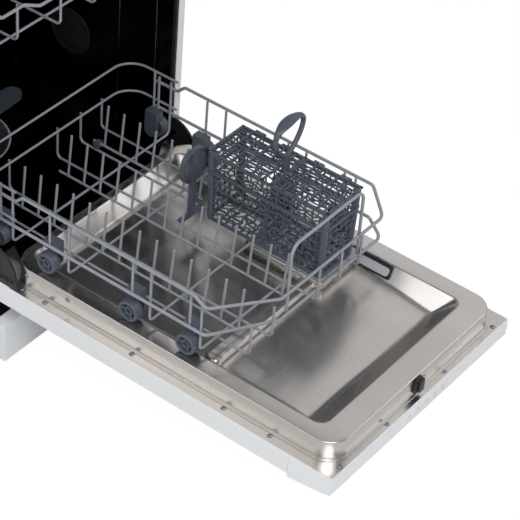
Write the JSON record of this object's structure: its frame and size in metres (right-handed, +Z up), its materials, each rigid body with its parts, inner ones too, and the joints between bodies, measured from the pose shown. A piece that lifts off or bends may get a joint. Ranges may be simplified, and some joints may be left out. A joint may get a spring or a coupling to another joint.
{
  "type": "slimline dishwasher",
  "caption": "Slimline dishwasher with its door open and lower rack drawn out: cabinet, steel tub, racks on wheels, cutlery basket, spray arms, dispenser and lock.",
  "frame": {"origin": "centre of the bounding box at floor level, midway between the free end of the open door and the back of the cabinet", "axes": "+X across the machine to its right side as seen from the door, +Y from the open door into the cabinet, +Z up"},
  "size_m": [0.448, 1.2103, 0.85],
  "materials": {
    "white_enamel": "satin white paint",
    "bare_steel": "brushed stainless sheet",
    "tub_steel": "stainless sheet",
    "zinc_steel": "zinc-plated steel",
    "coated_wire": "grey coated wire",
    "slate_plastic": "slate grey moulding",
    "grey_plastic": "light grey moulding",
    "black_plastic": "black moulding",
    "black_rubber": "black rubber",
    "white_plastic": "white moulding"
  },
  "bodies": {
    "cabinet_and_door": {"side_panel_left": "white_enamel", "side_panel_right": "white_enamel", "top_cover": "white_plastic", "back_panel": "zinc_steel", "base_tray": "black_plastic", "kick_panel": "white_enamel", "levelling_feet": "black_rubber", "tub_wrapper": "tub_steel", "tub_back_wall": "tub_steel", "tub_floor": "tub_steel", "tub_gasket": "black_rubber", "vent_cap": "slate_plastic", "sump_housing": "grey_plastic", "filter_plate": "zinc_steel", "circulation_pump": "black_plastic", "drain_pump": "black_plastic", "water_softener": "grey_plastic", "inlet_valve": "white_plastic", "feed_pipe": "grey_plastic", "lock_housing": "black_plastic", "hinge_brackets": "zinc_steel", "hinge_arms": "zinc_steel", "door_springs": "zinc_steel", "door_panel": "white_enamel", "control_fascia": "white_plastic", "key_strip": "grey_plastic", "door_liner": "bare_steel", "liner_screws": "bare_steel", "striker_block": "black_plastic", "striker_loop": "zinc_steel", "dispenser_housing": "grey_plastic", "hinge_shields": "black_plastic"},
    "lower_rack": {"lower_rack_rails": "coated_wire", "lower_rack_cross_wires": "coated_wire", "lower_rack_long_wires": "coated_wire", "rack_clips": "slate_plastic", "fixed_tines": "coated_wire"},
    "wheels_front": {"rack_wheels_1": "slate_plastic"},
    "wheels_second": {"rack_wheels_2": "slate_plastic"},
    "wheels_third": {"rack_wheels_3": "slate_plastic"},
    "wheels_rear": {"rack_wheels_4": "slate_plastic"},
    "folding_tine_row": {"folding_tines": "coated_wire"},
    "basket": {"basket_body": "slate_plastic", "basket_handle": "slate_plastic"},
    "lid_of_basket": {"basket_lid": "slate_plastic"},
    "upper_rack": {"upper_rack_rails": "coated_wire", "upper_rack_wires": "coated_wire", "upper_rails": "grey_plastic", "upper_feed_tube": "slate_plastic"},
    "rollers_front": {"upper_rollers_front": "white_plastic"},
    "rollers_rear": {"upper_rollers_rear": "white_plastic"},
    "shelf": {"cup_shelf": "coated_wire"},
    "upper_arm": {"upper_spray_arm": "slate_plastic"},
    "lower_arm": {"lower_spray_arm": "slate_plastic"},
    "filter": {"filter_cylinder": "slate_plastic"},
    "cap_of_salt": {"salt_cap": "slate_plastic"},
    "lid_of_dispenser": {"dispenser_lid": "slate_plastic"},
    "cap_of_rinse_aid": {"rinse_cap": "slate_plastic"},
    "button": {"power_button": "grey_plastic"},
    "claw": {"lock_claw": "zinc_steel"}
  },
  "joints": [
    {"name": "lower_rack_slide", "type": "slide", "parent": "cabinet_and_door", "child": "lower_rack", "axis": [0, -1, 0], "range_m": [-0.466, 0]},
    {"name": "wheel_spin_1", "type": "hinge", "parent": "lower_rack", "child": "wheels_front", "pos_m": [0, -0.315, 0.2248], "axis": [1, 0, 0], "range_deg": [-1526.7, 1]},
    {"name": "wheel_spin_2", "type": "hinge", "parent": "lower_rack", "child": "wheels_second", "pos_m": [0, -0.209, 0.2248], "axis": [1, 0, 0], "range_deg": [-1526.7, 1]},
    {"name": "wheel_spin_3", "type": "hinge", "parent": "lower_rack", "child": "wheels_third", "pos_m": [0, -0.051, 0.2248], "axis": [1, 0, 0], "range_deg": [-1526.7, 1]},
    {"name": "wheel_spin_4", "type": "hinge", "parent": "lower_rack", "child": "wheels_rear", "pos_m": [0, 0.046, 0.2248], "axis": [1, 0, 0], "range_deg": [-1526.7, 1]},
    {"name": "upper_rack_slide", "type": "slide", "parent": "cabinet_and_door", "child": "upper_rack", "axis": [0, 1, 0], "range_m": [-0.33, 0.052]},
    {"name": "roller_spin_1", "type": "hinge", "parent": "cabinet_and_door", "child": "rollers_front", "pos_m": [0, 0.107, 0.5815], "axis": [1, 0, 0], "range_deg": [-332.04, 2101.85]},
    {"name": "roller_spin_2", "type": "hinge", "parent": "cabinet_and_door", "child": "rollers_rear", "pos_m": [0, 0.167, 0.5815], "axis": [1, 0, 0], "range_deg": [-332.04, 2101.85]},
    {"name": "basket_lift", "type": "slide", "parent": "lower_rack", "child": "basket", "axis": [0, 0, 1], "range_m": [0, 0.2]},
    {"name": "basket_lid_hinge", "type": "hinge", "parent": "basket", "child": "lid_of_basket", "pos_m": [0.141, -0.265, 0.3504], "axis": [0, 1, 0], "range_deg": [0, 110]},
    {"name": "folding_tine_hinge", "type": "hinge", "parent": "lower_rack", "child": "folding_tine_row", "pos_m": [0.084, -0.016, 0.2253], "axis": [0, 1, 0], "range_deg": [0, 80]},
    {"name": "cup_shelf_hinge", "type": "hinge", "parent": "upper_rack", "child": "shelf", "pos_m": [-0.17815, 0.283, 0.627], "axis": [0, -1, 0], "range_deg": [0, 75]},
    {"name": "upper_arm_spin", "type": "hinge", "parent": "upper_rack", "child": "upper_arm", "pos_m": [0, 0.268, 0.519], "axis": [0, 0, 1], "continuous": true},
    {"name": "lower_arm_spin", "type": "hinge", "parent": "cabinet_and_door", "child": "lower_arm", "pos_m": [0, 0.31, 0.188], "axis": [0, 0, 1], "continuous": true},
    {"name": "filter_turn", "type": "hinge", "parent": "cabinet_and_door", "child": "filter", "pos_m": [-0.048, 0.288, 0.15], "axis": [0, 0, 1], "range_deg": [0, 90]},
    {"name": "salt_cap_turn", "type": "hinge", "parent": "cabinet_and_door", "child": "cap_of_salt", "pos_m": [-0.105, 0.481, 0.168], "axis": [0, 0, 1], "range_deg": [0, 90]},
    {"name": "dispenser_lid_slide", "type": "slide", "parent": "cabinet_and_door", "child": "lid_of_dispenser", "axis": [0, 1, 0], "range_m": [0, 0.045]},
    {"name": "rinse_cap_turn", "type": "hinge", "parent": "cabinet_and_door", "child": "cap_of_rinse_aid", "pos_m": [0.146, -0.304, 0.206], "axis": [0, 0, 1], "range_deg": [0, 90]},
    {"name": "power_button_press", "type": "slide", "parent": "cabinet_and_door", "child": "button", "axis": [0, 0, 1], "range_m": [0, 0.003], "stiffness_N_per_m": 400},
    {"name": "lock_claw_hinge", "type": "hinge", "parent": "cabinet_and_door", "child": "claw", "pos_m": [0, 0.097, 0.821], "axis": [-1, 0, 0], "range_deg": [0, 20]}
  ],
  "couplings": [
    {"joint": "wheel_spin_1", "follows": "lower_rack_slide", "rad_per_m": 57.143},
    {"joint": "wheel_spin_2", "follows": "lower_rack_slide", "rad_per_m": 57.143},
    {"joint": "wheel_spin_3", "follows": "lower_rack_slide", "rad_per_m": 57.143},
    {"joint": "wheel_spin_4", "follows": "lower_rack_slide", "rad_per_m": 57.143},
    {"joint": "roller_spin_1", "follows": "upper_rack_slide", "rad_per_m": -111.11},
    {"joint": "roller_spin_2", "follows": "upper_rack_slide", "rad_per_m": -111.11}
  ]
}
